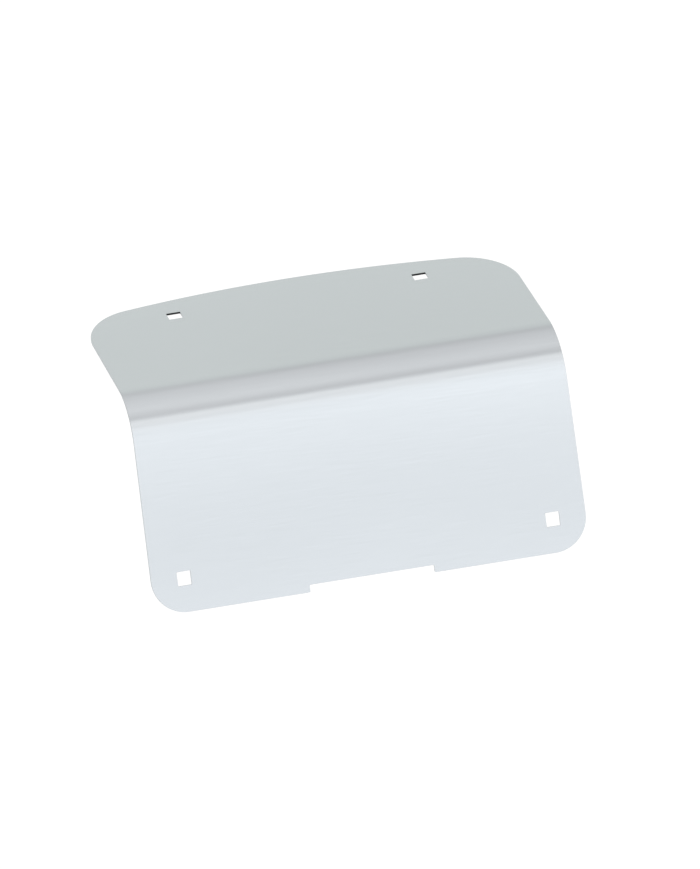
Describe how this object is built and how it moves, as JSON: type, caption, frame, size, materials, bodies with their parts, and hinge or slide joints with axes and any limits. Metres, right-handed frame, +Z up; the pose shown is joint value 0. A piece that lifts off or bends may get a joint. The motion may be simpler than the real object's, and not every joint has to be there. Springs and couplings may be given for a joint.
{
  "type": "sneeze guard",
  "caption": "Bent stainless sheet sneeze guard with a leaning front panel and a level top flange joined by a large-radius bend, four square-cornered bolt holes, and a shallow notch in its lower edge.",
  "frame": {"origin": "on the flange's underside, midway between its two bolt holes", "axes": "+X across the guard's width, +Z up and square to the flange, -Y towards the guests, the way the front panel faces"},
  "size_m": [0.3196, 0.2035, 0.1379],
  "materials": {
    "stainless_sheet": "satin, fine grain across the width"
  },
  "bodies": {
    "root": {"guard_panel": "stainless_sheet"}
  },
  "joints": []
}
